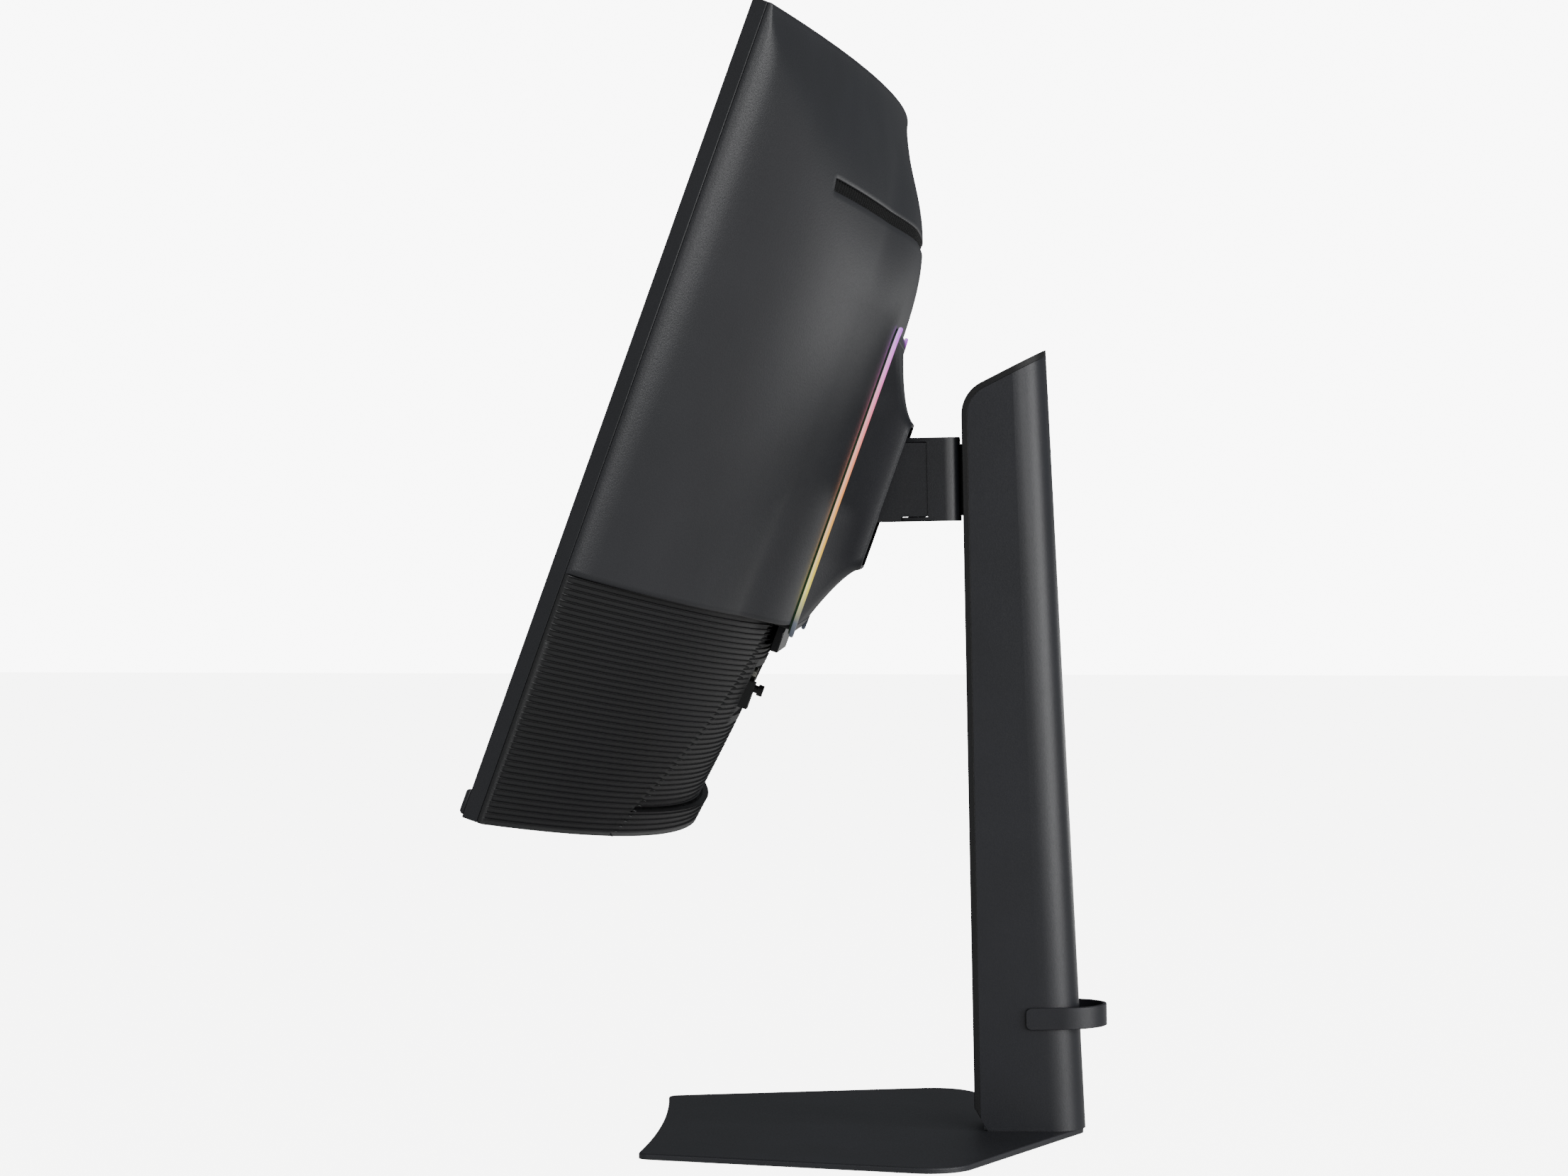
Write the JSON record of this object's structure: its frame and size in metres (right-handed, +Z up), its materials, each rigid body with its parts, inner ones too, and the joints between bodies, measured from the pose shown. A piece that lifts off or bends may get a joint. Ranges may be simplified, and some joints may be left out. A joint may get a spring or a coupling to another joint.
{
  "type": "curved monitor",
  "caption": "Curved desktop monitor on a height, tilt and swivel stand, with a light bar ring behind its neck.",
  "frame": {"origin": "on the desk, under the middle of the base plate", "axes": "+Z up, the screen faces -Y, +X to the right of someone facing the screen"},
  "size_m": [0.7, 0.3188, 0.5946],
  "materials": {
    "powder_coated_steel": "satin powder coat",
    "black_rubber": "matte",
    "zinc_steel": "zinc plated",
    "column_plastic": "fine satin texture",
    "cover_plastic": "fine matte grain",
    "frame_plastic": "matte",
    "trim_plastic": "matte",
    "rail_steel": "cold rolled",
    "die_cast": "as cast",
    "painted_casting": "satin",
    "acetal": "moulded",
    "spring_steel": "blued",
    "screen": "anti-glare",
    "diffuser_film": "translucent",
    "clear_acrylic": "polished",
    "tray_aluminium": "pressed",
    "chassis_steel": "galvanised",
    "ring_diffuser": "opal diffuser",
    "board": "solder mask",
    "connector_metal": "nickel plated",
    "gloss_black": "gloss"
  },
  "bodies": {
    "stand": {"base_plate": "powder_coated_steel", "rubber_feet": "black_rubber", "foot_screws": "zinc_steel", "thumbscrew": "zinc_steel", "column_shell": "column_plastic", "column_front_cover": "trim_plastic", "column_rail": "rail_steel", "foot_block": "die_cast", "spring_anchor": "rail_steel", "spring_ribbon": "spring_steel", "cable_clip": "column_plastic"},
    "carriage": {"carriage": "die_cast", "slider_pads": "acetal", "drum_axle": "zinc_steel", "carriage_screws": "zinc_steel", "neck_clevis": "painted_casting", "swivel_pin": "zinc_steel"},
    "drum": {"spring_drum": "acetal", "spring_coil": "spring_steel"},
    "neck": {"neck_knuckle": "painted_casting", "swivel_bushes": "acetal", "tilt_bushes": "acetal", "friction_washers": "spring_steel"},
    "jog": {"jog_stick": "gloss_black"},
    "head": {"hinge_plate": "chassis_steel", "hinge_screws": "zinc_steel", "tilt_bracket": "chassis_steel", "bracket_rivets": "zinc_steel", "tilt_shaft": "zinc_steel", "disc_springs": "spring_steel", "shaft_nuts": "zinc_steel", "mid_frame": "frame_plastic", "chin_bezel": "frame_plastic", "screen_glass": "screen", "optical_sheets": "diffuser_film", "light_guide": "clear_acrylic", "backlight_tray": "tray_aluminium", "chassis_plate": "chassis_steel", "upper_rear_cover": "cover_plastic", "vent_grille": "trim_plastic", "lower_rear_cover": "cover_plastic", "light_ring": "ring_diffuser", "light_strip": "board", "ring_carrier": "trim_plastic", "pod_shroud": "cover_plastic", "lower_housing": "gloss_black", "main_board": "board", "driver_board": "board", "port_frame": "trim_plastic", "video_ports": "connector_metal", "display_port": "connector_metal", "audio_jack": "trim_plastic", "power_inlet": "connector_metal", "jog_housing": "trim_plastic", "jog_switch": "trim_plastic"}
  },
  "joints": [
    {"name": "height", "type": "slide", "parent": "stand", "child": "carriage", "axis": [0, -0.0201, 0.9998], "range_m": [-0.12, 0], "deforming": ["spring_ribbon"]},
    {"name": "swivel", "type": "hinge", "parent": "carriage", "child": "neck", "pos_m": [0, 0.0258, 0.36761], "axis": [0, -0.0201, 0.9998], "range_deg": [-15, 15]},
    {"name": "tilt", "type": "hinge", "parent": "neck", "child": "head", "pos_m": [0, -0.01621, 0.36746], "axis": [1, 0, 0], "range_deg": [0, 25]},
    {"name": "drum_spin", "type": "hinge", "parent": "carriage", "child": "drum", "pos_m": [0, 0.07865, 0.37567], "axis": [1, 0, 0], "range_deg": [0, 1150]},
    {"name": "jog_press", "type": "slide", "parent": "head", "child": "jog", "axis": [0, -0.9415, 0.3371], "range_m": [0, 0.001], "stiffness_N_per_m": 400}
  ],
  "couplings": [
    {"joint": "drum_spin", "follows": "height", "rad_per_m": -166.67}
  ]
}
